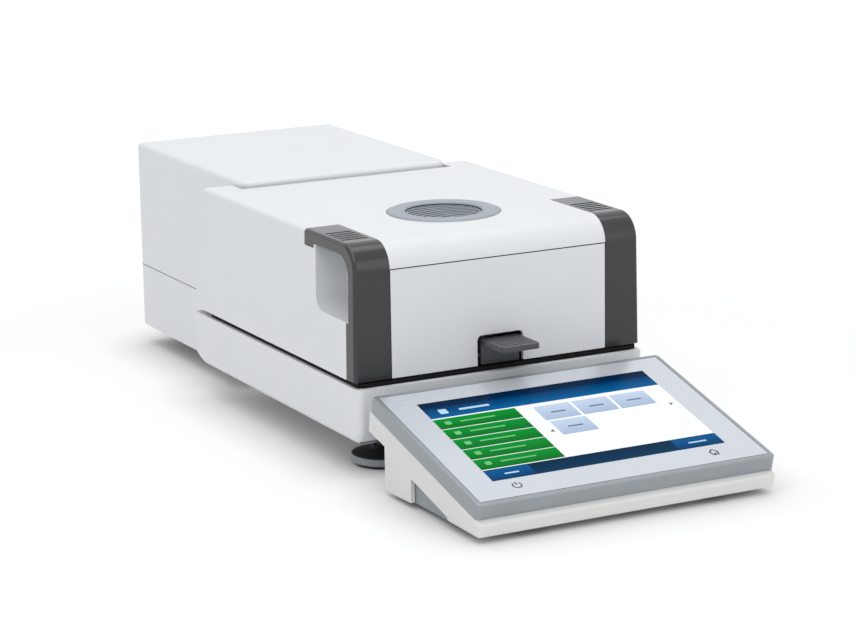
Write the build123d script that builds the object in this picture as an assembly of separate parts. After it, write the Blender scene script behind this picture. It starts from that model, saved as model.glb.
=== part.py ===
"""Halogen moisture analyzer with a motor-driven lid, a hanging sample pan and a tilting touch terminal.

Millimetres, +Z up, front towards -Y. The origin is on the surface the analyzer stands on,
under the middle of its overall outline.
"""
from build123d import *
import math
import os

# Driving dimensions of the lid, which set the size of the whole analyzer
LID_HALF_TOP = 96.0
LID_HALF_BOTTOM = 97.2
LID_TOP = 138.8
LID_BOTTOM = 57.8
LID_FRONT = -119.3
LID_REAR_TOP = 100.1
LID_REAR_BOTTOM = 118.3
LID_NOSE_R = 16.0
LID_WALL = 2.8
LID_EDGE_R = 2.5
FRONT_SEAM = 123.6
SEAM_GAP = 0.6
REAR_WALL_Y = 83.8

# Hinge of the lid, in the shoulders that reach back beside the rear housing
HINGE_Y = 97.5
HINGE_Z = 132.5
HINGE_PIN_R = 2.0
SHOULDER_X = 76.0
RUN_CLEARANCE = 0.05

# Grips: the dark corner trims bridge a finger pocket in each side
TRIM_W = 22.9
TRIM_INNER_X = LID_HALF_TOP - TRIM_W
TRIM_SIDE_UPPER = 8.7
TRIM_SIDE_LOWER = 11.6
TRIM_BAR_Z = 131.5
TRIM_FOOT_Z = 129.0
TRIM_REAR_Y = -52.0
TRIM_FOOT_Y = -65.0
POCKET_FLOOR = 92.5
POCKET_REAR_Y = -67.3
POCKET_INNER_X = 76.0
POCKET_WALL = 2.2
GRIP_SLOTS = 5
GRIP_SLOT_PITCH = 5.4

# Chamber, centred under the vent
CHAMBER_Y = -48.8
VENT_R = 35.0
GRILLE_R = 23.7
PAN_R = 45.0
PAN_BASE_Z = 62.0
SHIELD_R = 57.0
RING_Z = 66.4
LAMP_RING_R = 38.0
LAMP_TUBE_R = 4.0

# Base: a wide front part under the lid and a narrower rear part
BASE_HALF = 97.2
BASE_FRONT = -123.5
BASE_TOP = 54.3
BASE_BOTTOM = 20.8
BASE_REAR = 118.3
BASE_WALL = 3.0
DECK_TOP = 57.0
REAR_HALF = 75.0
REAR_END = 268.3
REAR_BOTTOM = 13.5
REAR_SEAM = 56.7
REAR_TOP = 142.6
REAR_LIP_Y = 87.0
REAR_FRONT_Y = 90.0
REAR_WALL = 2.5

# Feet
FOOT_X = 66.8
FOOT_Y = -93.3
FOOT_R = 19.5
SCREW_R = 4.0
FOOT_GROOVES = 18
FOOT_TRAVEL = 3.0
REAR_FOOT_X = 36.0
REAR_FOOT_Y = 240.0
REAR_FOOT_R = 10.0

# Touch terminal: the top face slopes down to the front
TERM_HALF = 97.2
TERM_LENGTH = 131.5
TERM_TILT = 14.25
TERM_REAR_Y = -140.2
TERM_REAR_Z = 55.3
TERM_BAND = 9.5
TERM_CORNER_R = 3.0
SCREEN_HALF = 76.2
SCREEN_LENGTH = 90.8
SCREEN_START = 18.8
PIVOT_Y = -259.0
PIVOT_Z = 9.4
PIVOT_R = 2.0

SOLIDS = {}


def keep(name, shape):
    """Store one named piece of the analyzer."""
    SOLIDS[name] = shape


def block(x0, x1, y0, y1, z0, z1):
    """Box between two corners."""
    return Pos((x0 + x1) / 2, (y0 + y1) / 2, (z0 + z1) / 2) * Box(x1 - x0, y1 - y0, z1 - z0)


def post(radius, z0, z1, x=0.0, y=0.0):
    """Upright cylinder."""
    return Pos(x, y, (z0 + z1) / 2) * Cylinder(radius, z1 - z0)


def ring(outer, inner, z0, z1, x=0.0, y=0.0):
    """Upright ring."""
    return post(outer, z0, z1, x, y) - post(inner, z0 - 1, z1 + 1, x, y)


def rod(radius, x0, x1, y, z):
    """Cylinder along X."""
    return Pos((x0 + x1) / 2, y, z) * Rot(0, 90, 0) * Cylinder(radius, x1 - x0)


def barrel(radius, y0, y1, x, z):
    """Cylinder along Y."""
    return Pos(x, (y0 + y1) / 2, z) * Rot(90, 0, 0) * Cylinder(radius, y1 - y0)


def side_prism(wire, x0, x1):
    """Extrude an outline drawn in the YZ plane from x0 to x1."""
    return extrude(Plane.YZ.offset(x0) * make_face(wire), x1 - x0)


def side_polygon(points, x0, x1):
    """Extrude a closed polygon of (y, z) points from x0 to x1."""
    return side_prism(Polyline(*points, close=True), x0, x1)


def both_sides(shape):
    """The shape and its mirror image across the middle plane."""
    return shape, mirror(shape, about=Plane.YZ)


def lid_outline(inset):
    """Side outline of the lid with its rounded front shoulder, moved in by a wall's thickness."""
    front, top, radius = LID_FRONT + inset, LID_TOP - inset, LID_NOSE_R - inset
    rear_top, rear_bottom = LID_REAR_TOP - inset, LID_REAR_BOTTOM - inset
    low = LID_BOTTOM - (5.0 if inset else 0.0)
    lean = (rear_bottom - rear_top) / (LID_TOP - LID_BOTTOM)
    foot = rear_bottom + lean * (LID_BOTTOM - low)
    start = (front, low)
    nose = (front, top - radius)
    crown = (front + radius, top)
    middle = (front + radius * (1 - math.sqrt(0.5)), top - radius * (1 - math.sqrt(0.5)))
    return (Line(start, nose) + ThreePointArc(nose, middle, crown)
            + Line(crown, (rear_top + lean * inset, top))
            + Line((rear_top + lean * inset, top), (foot, low)) + Line((foot, low), start))


def lid_body(inset):
    """Solid inside the lid's outline, narrower at the top than at the bottom."""
    solid = side_prism(lid_outline(inset), -LID_HALF_BOTTOM + inset, LID_HALF_BOTTOM - inset)
    half_low, half_top = LID_HALF_BOTTOM - inset, LID_HALF_TOP - inset
    wedge = Polyline((half_low, LID_BOTTOM), (half_top, LID_TOP), (half_low + 9, LID_TOP),
                     (half_low + 9, LID_BOTTOM), close=True)
    cutter = extrude(Plane.XZ.offset(200) * make_face(wedge), -400)
    for side in both_sides(cutter):
        solid -= side
    if inset == 0:
        side_edges = solid.edges().filter_by(
            lambda e: abs(e.center().X) > LID_HALF_TOP - 1 and e.center().Z > LID_BOTTOM + 5 and e.center().Y < REAR_WALL_Y)
        solid = fillet(side_edges, LID_EDGE_R)
    return solid


def trim_region():
    """Space that one corner trim takes from the lid: the column and the bar over the pocket."""
    bend = 12.0
    inner_y = LID_FRONT + TRIM_SIDE_UPPER
    lower_y = LID_FRONT + TRIM_SIDE_LOWER
    step_z = POCKET_FLOOR - 0.3
    low = LID_BOTTOM - 2
    corner = (inner_y + bend * (1 - math.sqrt(0.5)), TRIM_BAR_Z - bend * (1 - math.sqrt(0.5)))
    path = [(LID_FRONT - 5, low), (lower_y, low), (lower_y, step_z), (inner_y, step_z),
            (inner_y, TRIM_BAR_Z - bend)]
    edge = Polyline(*path)
    edge += ThreePointArc(path[-1], corner, (inner_y + bend, TRIM_BAR_Z))
    edge += Polyline((inner_y + bend, TRIM_BAR_Z), (TRIM_FOOT_Y, TRIM_BAR_Z), (TRIM_FOOT_Y, TRIM_FOOT_Z),
                     (TRIM_REAR_Y, TRIM_FOOT_Z), (TRIM_REAR_Y, LID_TOP + 5), (LID_FRONT - 5, LID_TOP + 5),
                     (LID_FRONT - 5, low))
    return side_prism(edge, TRIM_INNER_X, LID_HALF_BOTTOM + 5)


def make_trims():
    """Dark corner trims with grip slots on their flat tops."""
    trim = lid_body(0.0) & trim_region()
    for i in range(GRIP_SLOTS):
        y = TRIM_REAR_Y - 22.0 - i * GRIP_SLOT_PITCH
        trim -= block(TRIM_INNER_X + 2.5, LID_HALF_TOP - 4.0, y - 1.1, y + 1.1, LID_TOP - 1.4, LID_TOP + 1)
    left, right = mirror(trim, about=Plane.YZ), trim
    keep("lid_trim_right", right)
    keep("lid_trim_left", left)


def make_lid_shell():
    """White lid shell: top, sides, shoulders, pocket liners and the posts that carry the heater."""
    shell = lid_body(0.0) - lid_body(LID_WALL)
    inner_top = LID_TOP - LID_WALL
    shell -= block(-SHOULDER_X, SHOULDER_X, REAR_WALL_Y, LID_REAR_BOTTOM + 9, LID_BOTTOM - 1, LID_TOP + 1)
    inner_x = SHOULDER_X + LID_WALL
    wall = side_polygon([(REAR_WALL_Y - LID_WALL, LID_BOTTOM + 5), (REAR_WALL_Y - LID_WALL, inner_top + 0.5),
                         (LID_REAR_TOP, inner_top + 0.5), (LID_REAR_BOTTOM - 1.5, LID_BOTTOM + 5)],
                        SHOULDER_X, inner_x)
    for side in both_sides(wall):
        shell += side
    shell += block(-inner_x, inner_x, REAR_WALL_Y - LID_WALL, REAR_WALL_Y, LID_BOTTOM, inner_top + 0.5)
    shell -= rod(HINGE_PIN_R, -120, 120, HINGE_Y, HINGE_Z) & (
        block(-inner_x - 1, inner_x + 1, 60, 130, 100, 150))

    liner = block(POCKET_INNER_X - POCKET_WALL, LID_HALF_BOTTOM - 1.0, LID_FRONT + TRIM_SIDE_UPPER,
                  POCKET_REAR_Y + POCKET_WALL, POCKET_FLOOR - POCKET_WALL, TRIM_FOOT_Z + 5)
    pocket = block(POCKET_INNER_X, LID_HALF_BOTTOM + 3, LID_FRONT + TRIM_SIDE_UPPER - 3,
                   POCKET_REAR_Y, POCKET_FLOOR, LID_TOP + 5)
    low_edge = pocket.edges().filter_by(Axis.X).sort_by(Axis.Z)[:2].sort_by(Axis.Y)[-1]
    pocket = fillet(low_edge, 9.0)
    for one in both_sides(liner & lid_body(0.5)):
        shell += one
    for one in both_sides(pocket):
        shell -= one
    for one in both_sides(trim_region()):
        shell -= one

    shell -= block(-TRIM_INNER_X, TRIM_INNER_X, LID_FRONT - 5, LID_FRONT + LID_WALL + 0.01,
                   LID_BOTTOM - 5, FRONT_SEAM)
    shell -= post(VENT_R - 1.5, LID_TOP - 8, LID_TOP + 5, 0, CHAMBER_Y)
    for x in (-62, 62):
        for y in (-98, 18):
            shell += post(4.0, 80.0, inner_top + 0.5, x, y)
    keep("lid_shell", shell)


def make_front_panel():
    """White front panel between the trims, with the notch that passes over the pan handler."""
    panel = block(-TRIM_INNER_X + 0.2, TRIM_INNER_X - 0.2, LID_FRONT, LID_FRONT + LID_WALL,
                  LID_BOTTOM, FRONT_SEAM - SEAM_GAP)
    notch = block(-15.5, 15.5, LID_FRONT - 1, LID_FRONT + 9, LID_BOTTOM - 5, 76.2)
    corners = notch.edges().filter_by(Axis.Y).sort_by(Axis.Z)[2:]
    panel -= fillet(corners, 3.0)
    ribs = block(-60, 60, LID_FRONT + LID_WALL, LID_FRONT + LID_WALL + 3, 108.0, 110.0)
    keep("lid_front_panel", panel + ribs)
    keep("panel_bracket", bracket_behind_panel())


def bracket_behind_panel():
    """Steel strip that ties the front panel to the heater posts."""
    strip = block(-66, 66, LID_FRONT + LID_WALL + 3, LID_FRONT + LID_WALL + 4.5, 96.0, 116.0)
    for x in (-62, 62):
        strip += block(x - 3, x + 3, LID_FRONT + LID_WALL + 4.5, -98 - 3.0, 100.0, 112.0)
        strip -= post(4.0, 90.0, 120.0, x, -98)
    strip -= block(-61, 61, LID_FRONT, LID_FRONT + LID_WALL + 3, 90, 120)
    return strip


def make_vent():
    """Vent ring and grille on top of the lid."""
    profile = Polyline((GRILLE_R, -LID_WALL), (GRILLE_R, 0.2), (GRILLE_R + 1.2, 0.9), (VENT_R - 1.6, 0.9),
                       (VENT_R, 0.0), (VENT_R - 1.5, 0.0), (VENT_R - 1.5, -LID_WALL), close=True)
    vent = revolve(Plane.XZ * make_face(profile), Axis.Z, 360)
    keep("vent_ring", Pos(0, CHAMBER_Y, LID_TOP) * vent)
    grille = ring(GRILLE_R, GRILLE_R - 1.6, -2.8, -0.6)
    bow = 46.0
    for i in range(-4, 5):
        y = i * 4.9
        arc = ring(bow + 1.0, bow - 1.0, -2.6, -0.8, 0, y - bow)
        grille += arc & post(GRILLE_R - 1.0, -2.6, -0.8)
    grille += block(-1.2, 1.2, -GRILLE_R + 1, GRILLE_R - 1, -2.6, -1.2)
    keep("vent_grille", Pos(0, CHAMBER_Y, LID_TOP) * grille)


def make_heater():
    """Heating module in the lid: frame, reflector, halogen ring lamp, holders, glass and sensor."""
    z = 78.0
    frame = block(-71.0, 71.0, -112.0, 42.0, z, z + 2.0)
    frame -= post(56.0, z - 1, z + 3, 0, CHAMBER_Y)
    keep("heater_frame", frame)
    outer = Polyline((60.0, 0.0), (60.0, 1.2), (56.5, 1.2), (33.0, 30.0), (31.8, 29.0), (55.4, 0.0), close=True)
    reflector = Pos(0, CHAMBER_Y, z + 2.0) * revolve(Plane.XZ * make_face(outer), Axis.Z, 360)
    for x in (-46.0, 46.0):
        reflector -= post(4.0, z + 2.0, z + 24.0, x, CHAMBER_Y)
    keep("lamp_reflector", reflector)
    tube = Plane.XZ * Pos(LAMP_RING_R, 0) * RegularPolygon(LAMP_TUBE_R, 12)
    lamp = Pos(0, CHAMBER_Y, 90.0) * revolve(tube, Axis.Z, 360)
    for x in (-46.0, 46.0):
        lamp -= block(min(x, 0.8 * x), max(x, 0.8 * x), CHAMBER_Y - 6, CHAMBER_Y + 6, 84, 96)
    keep("halogen_ring_lamp", lamp)
    holders = None
    for x in (-46.0, 46.0):
        inner = 0.8 * x
        grip = 0.935 * x
        holder = block(min(inner, grip), max(inner, grip), CHAMBER_Y - 5, CHAMBER_Y + 5, 86, 93.5)
        holder += post(3.6, z + 2.0, 108.0, x, CHAMBER_Y)
        holder += block(min(x, 1.3 * x), max(x, 1.3 * x), CHAMBER_Y - 4, CHAMBER_Y + 4, 104.0, 108.0)
        holder += post(3.0, z + 2.0, 104.0, 1.38 * x, CHAMBER_Y) + block(
            min(x, 1.4 * x), max(x, 1.4 * x), CHAMBER_Y - 3, CHAMBER_Y + 3, 104.0, 107.0)
        holders = holder if holders is None else holders + holder
    keep("lamp_holders", holders)
    keep("protective_glass", post(58.5, z - 2.4, z - 0.4, 0, CHAMBER_Y) + ring(58.5, 57.0, z - 0.4, z, 0, CHAMBER_Y))
    clips = None
    for angle in (45, 135, 225, 315):
        x = 61.0 * math.cos(math.radians(angle))
        y = CHAMBER_Y + 61.0 * math.sin(math.radians(angle))
        clip = block(-2.4, 3.2, -4, 4, z - 3.4, z - 2.4) + block(1.2, 3.2, -4, 4, z - 3.4, z)
        clip = Pos(x, y, 0) * Rot(0, 0, angle) * (Pos(-3.8 + 2.0, 0, 0) * clip)
        clips = clip if clips is None else clips + clip
    keep("glass_clips", clips)
    stem = post(1.6, z - 12.0, z - 2.4, 0, CHAMBER_Y) + post(3.0, z - 4.0, z - 2.4, 0, CHAMBER_Y)
    keep("temperature_sensor", stem & block(-9, 9, CHAMBER_Y - 9, CHAMBER_Y + 9, z - 7.0, z - 2.4))


def make_hinge():
    """Hinge pins fixed in the lid's shoulders, running in bushes in the rear housing."""
    pin = rod(HINGE_PIN_R, 62.0, SHOULDER_X + LID_WALL, HINGE_Y, HINGE_Z)
    for name, shape in zip(("hinge_pin_right", "hinge_pin_left"), both_sides(pin)):
        keep(name, shape)
    bush = rod(4.0, REAR_HALF - 6.0, REAR_HALF, HINGE_Y, HINGE_Z)
    bush -= rod(HINGE_PIN_R + RUN_CLEARANCE, 60, 80, HINGE_Y, HINGE_Z)
    for name, shape in zip(("hinge_bush_right", "hinge_bush_left"), both_sides(bush)):
        keep(name, shape)
    keep("hinge_brackets", hinge_brackets())


def hinge_brackets():
    """Steel brackets inside the rear housing that back up the hinge bushes."""
    plate = block(REAR_HALF - REAR_WALL - 3.0, REAR_HALF - REAR_WALL, 92.5, 130.0, REAR_SEAM, REAR_TOP - REAR_WALL)
    foot = block(REAR_HALF - REAR_WALL - 15.0, REAR_HALF - REAR_WALL, 92.5, 130.0, REAR_SEAM, REAR_SEAM + 2.5)
    bracket = plate + foot - rod(4.0, 60, 80, HINGE_Y, HINGE_Z)
    right, left = both_sides(bracket)
    return right + left


def make_rear_housing():
    """White rear housing whose front lip reaches into the lid's rear notch."""
    outer = block(-REAR_HALF, REAR_HALF, REAR_LIP_Y, REAR_END, REAR_SEAM, REAR_TOP)
    verticals = outer.edges().filter_by(Axis.Z)
    outer = fillet(verticals.sort_by(Axis.Y)[:2], 8.0)
    outer = fillet(outer.edges().filter_by(Axis.Z).sort_by(Axis.Y)[-2:], 5.0)
    outer = fillet(outer.faces().sort_by(Axis.Z)[-1].edges(), 3.0)
    low_front = block(-REAR_HALF - 1, REAR_HALF + 1, REAR_LIP_Y - 1, REAR_FRONT_Y, REAR_SEAM - 1, LID_TOP - 4.0)
    outer -= low_front
    inner = block(-REAR_HALF + REAR_WALL, REAR_HALF - REAR_WALL, REAR_FRONT_Y + REAR_WALL,
                  REAR_END - REAR_WALL, REAR_SEAM - 1, REAR_TOP - REAR_WALL)
    shell = outer - inner
    shell -= block(-62, 62, REAR_END - REAR_WALL - 1, REAR_END + 1, REAR_SEAM - 1, 128.0)
    shell -= rod(4.0, -80, 80, HINGE_Y, HINGE_Z) & (
        block(-80, -70, 80, 110, 120, 140) + block(70, 80, 80, 110, 120, 140))
    keep("rear_housing", shell)


def make_rear_panel():
    """Rear panel with openings for the fan, the mains inlet and the data sockets."""
    y0, y1 = REAR_END - REAR_WALL, REAR_END - 0.5
    panel = block(-61.7, 61.7, y0, y1, REAR_SEAM, 127.7)
    panel -= barrel(25.0, y0 - 1, y1 + 1, 26.0, 97.0)
    panel -= block(-54.0, -26.0, y0 - 1, y1 + 1, 68.0, 90.0)
    for i in range(3):
        x = -50.0 + i * 17.0
        panel -= block(x - 6.0, x + 6.0, y0 - 1, y1 + 1, 102.0, 114.0)
    keep("rear_panel", panel)

    grille = None
    for radius in (25.0, 18.8, 12.6):
        band = barrel(radius, y0 + 0.2, y1 - 0.2, 26.0, 97.0) - barrel(radius - 1.6, y0 - 1, y1 + 1, 26.0, 97.0)
        grille = band if grille is None else grille + band
    grille += barrel(6.4, y0 + 0.2, y1 - 0.2, 26.0, 97.0)
    spokes = block(26.0 - 24.0, 26.0 + 24.0, y0 + 0.2, y1 - 0.2, 96.2, 97.8)
    spokes += block(25.2, 26.8, y0 + 0.2, y1 - 0.2, 73.0, 121.0)
    keep("fan_grille", grille + spokes)

    inlet = block(-57.0, -23.0, y0 - 4.0, y0, 65.0, 93.0) + block(-53.8, -26.2, y0 - 22.0, y1, 68.2, 89.8)
    inlet -= block(-51.0, -29.0, y1 - 14.0, y1 + 1, 71.0, 87.0)
    for x, z in ((-47.0, 77.0), (-40.0, 82.0), (-33.0, 77.0)):
        inlet += block(x - 1.0, x + 1.0, y1 - 15.0, y1 - 4.0, z - 2.5, z + 2.5)
    keep("mains_inlet", inlet)

    sockets = None
    for i in range(3):
        x = -50.0 + i * 17.0
        one = block(x - 6.0, x + 6.0, y0 - 14.0, y1 - 0.2, 102.0, 114.0)
        one -= block(x - 4.2, x + 4.2, y1 - 10.0, y1 + 1, 104.0, 112.0)
        sockets = one if sockets is None else sockets + one
    sockets += block(-58.0, -8.0, y0 - 14.0, y0 - 12.4, 95.0, 118.0)
    keep("data_sockets", sockets)


def make_fan():
    """Cooling fan behind the rear panel: a square frame and a seven-blade rotor."""
    y0, y1 = REAR_END - REAR_WALL - 15.5, REAR_END - REAR_WALL - 0.2
    x, z, half = 26.0, 97.0, 27.0
    frame = block(x - half, x + half, y0, y1 + 0.2, z - half, z + half)
    frame -= barrel(25.0, y0 - 1, y1 + 2, x, z)
    frame += barrel(9.0, y0, y0 + 2.0, x, z) + block(x - 26, x + 26, y0, y0 + 2.0, z - 1.5, z + 1.5)
    frame += block(x - 1.5, x + 1.5, y0, y0 + 2.0, z - 26, z + 26)
    frame += barrel(1.5, y0, y1 - 3.0, x, z)
    keep("fan_frame", frame)
    hub = barrel(9.5, y0 + 3.0, y1 - 2.0, x, z) - barrel(1.5 + RUN_CLEARANCE, y0, y1 - 2.6, x, z)
    rotor = hub
    for i in range(7):
        blade = block(8.5, 23.5, -1.0, 1.0, -5.6, 5.6)
        blade = Rot(0, i * 360 / 7, 0) * (Rot(38, 0, 0) * Pos(0, 0, 0) * (Rot(90, 0, 0) * blade))
        rotor += Pos(x, (y0 + y1) / 2 + 0.4, z) * blade
    rotor -= barrel(1.5 + RUN_CLEARANCE, y0, y1 - 2.6, x, z)
    keep("fan_rotor", rotor)


def make_electronics():
    """Power supply, main board, lid motor and weighing cell as closed units."""
    supply = block(-64.0, -8.0, 150.0, 240.0, 60.0, 98.0)
    supply += block(-70.0, -2.0, 150.0, 240.0, REAR_SEAM + 1.8, 60.0)
    keep("power_supply", supply)
    board = block(-70.0, 70.0, 134.0, 246.0, REAR_SEAM, REAR_SEAM + 1.8)
    for x0, y0, w, d, h in ((6, 150, 18, 18, 4), (30, 150, 14, 22, 9), (6, 180, 30, 12, 6), (46, 190, 14, 14, 12)):
        board += block(x0, x0 + w, y0, y0 + d, REAR_SEAM + 1.8, REAR_SEAM + 1.8 + h)
    keep("main_board", board)
    motor = rod(14.0, 20.0, 58.0, 112.0, 110.0) + rod(3.0, 58.0, 62.0, 112.0, 110.0)
    motor += block(18.0, 24.0, 98.0, 128.0, REAR_SEAM, 124.0)
    keep("lid_motor", motor)


def make_base():
    """White base: wide under the lid, narrower under the rear housing, open below."""
    radius = 10.0
    turn = radius * (1 - math.sqrt(0.5))
    front, low = BASE_FRONT, BASE_BOTTOM
    outline = Line((front, BASE_TOP), (front, low + radius))
    outline += ThreePointArc((front, low + radius), (front + turn, low + turn), (front + radius, low))
    outline += Polyline((front + radius, low), (102.4, low), (116.7, 26.9), (BASE_REAR, 30.0),
                        (BASE_REAR, BASE_TOP), (front, BASE_TOP))
    wide = side_prism(outline, -BASE_HALF, BASE_HALF)
    wide = fillet(wide.edges().filter_by(Axis.Z).sort_by(Axis.Y)[:2], 4.0)
    narrow = block(-REAR_HALF, REAR_HALF, REAR_LIP_Y, REAR_END, REAR_BOTTOM, REAR_SEAM)
    narrow = fillet(narrow.edges().filter_by(Axis.Z).sort_by(Axis.Y)[-2:], 5.0)
    narrow -= block(-REAR_HALF - 1, REAR_HALF + 1, REAR_LIP_Y - 1, 108.0, REAR_BOTTOM - 1, BASE_BOTTOM + 0.01)
    shell = wide + narrow
    wall = BASE_WALL
    shell -= block(-BASE_HALF + wall, BASE_HALF - wall, front + wall + 3, BASE_REAR - wall - 2, low - 1, BASE_TOP - wall)
    shell -= block(-REAR_HALF + wall, REAR_HALF - wall, 96.0, REAR_END - wall, REAR_BOTTOM - 1, REAR_SEAM - wall)
    shell -= block(-58.0, 58.0, 140.0, REAR_END - 12.0, REAR_SEAM - wall - 1, REAR_SEAM + 1)
    shell -= post(16.0, BASE_TOP - wall - 1, BASE_TOP + 1, 0, CHAMBER_Y)
    for x in (-FOOT_X, FOOT_X):
        shell += post(9.0, low, BASE_TOP - wall + 0.5, x, FOOT_Y)
        shell -= post(SCREW_R + 0.3, low - 1, low + 18.0 + FOOT_TRAVEL + 1.5, x, FOOT_Y)
    keep("base_shell", shell)


def make_floor_plates():
    """Steel bottom plates that close the base from below."""
    z0, z1 = BASE_BOTTOM, BASE_BOTTOM + 1.6
    plate = block(-94.2, 94.2, -117.5, 102.4, z0, z1)
    plate -= block(-REAR_HALF, REAR_HALF, 95.9, 103.0, z0 - 1, z1 + 1)
    for x in (-FOOT_X, FOOT_X):
        plate -= post(9.0, z0 - 1, z1 + 1, x, FOOT_Y)
    keep("front_bottom_plate", plate)
    rear = block(-72.0, 72.0, 108.0, REAR_END - BASE_WALL, REAR_BOTTOM, REAR_BOTTOM + 1.6)
    for i in range(7):
        y = 160.0 + i * 9.0
        rear -= block(-30.0, 30.0, y, y + 3.2, REAR_BOTTOM - 1, REAR_BOTTOM + 3)
    keep("rear_bottom_plate", rear)


def make_chamber():
    """Black chamber deck with the draft shield, the pan on its support and the pan handler."""
    deck = block(-93.2, 93.2, -119.5, 83.6, BASE_TOP, DECK_TOP)
    deck = fillet(deck.edges().filter_by(Axis.Z), 3.0)
    deck -= post(14.0, BASE_TOP - 1, DECK_TOP + 1, 0, CHAMBER_Y)
    keep("chamber_deck", deck)
    shield = ring(SHIELD_R, SHIELD_R - 1.5, DECK_TOP, RING_Z - 0.2, 0, CHAMBER_Y)
    shield += ring(SHIELD_R + 4.0, SHIELD_R - 1.5, DECK_TOP, DECK_TOP + 1.2, 0, CHAMBER_Y)
    keep("draft_shield", shield)

    carrier = post(3.0, 44.0, PAN_BASE_Z, 0, CHAMBER_Y)
    for angle in (90, 210, 330):
        carrier += Pos(0, CHAMBER_Y, 0) * Rot(0, 0, angle) * block(0, 38.0, -2.0, 2.0, PAN_BASE_Z - 2.0, PAN_BASE_Z)
    keep("pan_support", carrier)
    pan_profile = Polyline((0, 0), (PAN_R - 3.0, 0), (PAN_R - 1.6, 5.6), (PAN_R + 1.0, 5.6), (PAN_R + 1.0, 6.4),
                           (PAN_R - 2.3, 6.4), (PAN_R - 3.6, 0.8), (0, 0.8), close=True)
    pan = revolve(Plane.XZ * make_face(pan_profile), Axis.Z, 360)
    keep("sample_pan", Pos(0, CHAMBER_Y, PAN_BASE_Z) * pan)

    handler = ring(SHIELD_R - 0.5 + 2.0, PAN_R + 3.0, RING_Z - 0.2, RING_Z + 1.6, 0, CHAMBER_Y)
    handler -= block(-24.0, 24.0, CHAMBER_Y + 20, CHAMBER_Y + 70, RING_Z - 2, RING_Z + 4)
    handler += block(-13.0, 13.0, LID_FRONT + 1.0, CHAMBER_Y - 50.0, RING_Z - 0.2, RING_Z + 1.6)
    handler += block(-13.0, 13.0, LID_FRONT + 0.4, LID_FRONT + 2.6, 58.2, 74.0)
    ledge = block(-13.0, 13.0, -145.0, LID_FRONT + 1.0, 70.6, 74.0)
    front = ledge.edges().filter_by(Axis.Z).sort_by(Axis.Y)[:2]
    ledge = fillet(front, 2.5)
    for i in range(5):
        y = -142.0 + i * 4.2
        ledge -= block(-10.8, 10.8, y, y + 1.6, 73.2, 75.0)
    handler += ledge
    keep("pan_handler", handler)

    cell = block(-20.0, 20.0, -78.0, 60.0, BASE_BOTTOM + 1.6, 40.0)
    cell -= block(-21, 21, -60.0, 36.0, 27.0, 34.6)
    cell += post(3.0, 39.0, 43.2, 0, CHAMBER_Y)
    keep("weighing_cell", cell)


def make_feet():
    """Two levelling feet at the front and two rubber feet at the rear."""
    for side, x in (("left", -FOOT_X), ("right", FOOT_X)):
        screw = post(SCREW_R, 6.2, BASE_BOTTOM + 18.0, 0, 0)
        cone = Polyline((0, 2.2), (FOOT_R, 2.2), (FOOT_R, 6.0), (FOOT_R - 1.2, 6.6), (8.0, 9.2), (6.0, 11.0),
                        (0, 11.0), close=True)
        wheel = revolve(Plane.XZ * make_face(cone), Axis.Z, 360)
        for i in range(FOOT_GROOVES):
            groove = Pos(FOOT_R + 0.3, 0, 4.1) * Rot(0, 0, 45) * Box(1.6, 1.6, 4.2)
            wheel -= Rot(0, 0, i * 360 / FOOT_GROOVES) * groove
        keep(f"foot_wheel_{side}", Pos(x, FOOT_Y, 0) * (wheel + screw))
        pad = post(FOOT_R - 2.5, 0.0, 1.9) + post(2.0, 1.8, 5.0)
        keep(f"foot_pad_{side}", Pos(x, FOOT_Y, 0) * pad)
        hole = post(2.0 + RUN_CLEARANCE, 1.0, 5.4, x, FOOT_Y)
        SOLIDS[f"foot_wheel_{side}"] -= hole
    feet = None
    for x in (-REAR_FOOT_X, REAR_FOOT_X):
        foot = post(REAR_FOOT_R, 0.0, REAR_BOTTOM, x, REAR_FOOT_Y)
        foot = chamfer(foot.edges().sort_by(Axis.Z)[:1], 1.5)
        feet = foot if feet is None else feet + foot
    keep("rear_feet", feet)


def on_slope(shape):
    """Move a shape drawn flat, with its rear edge on the X axis, onto the terminal's slope."""
    return Pos(0, TERM_REAR_Y, TERM_REAR_Z) * Rot(TERM_TILT, 0, 0) * shape


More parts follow.
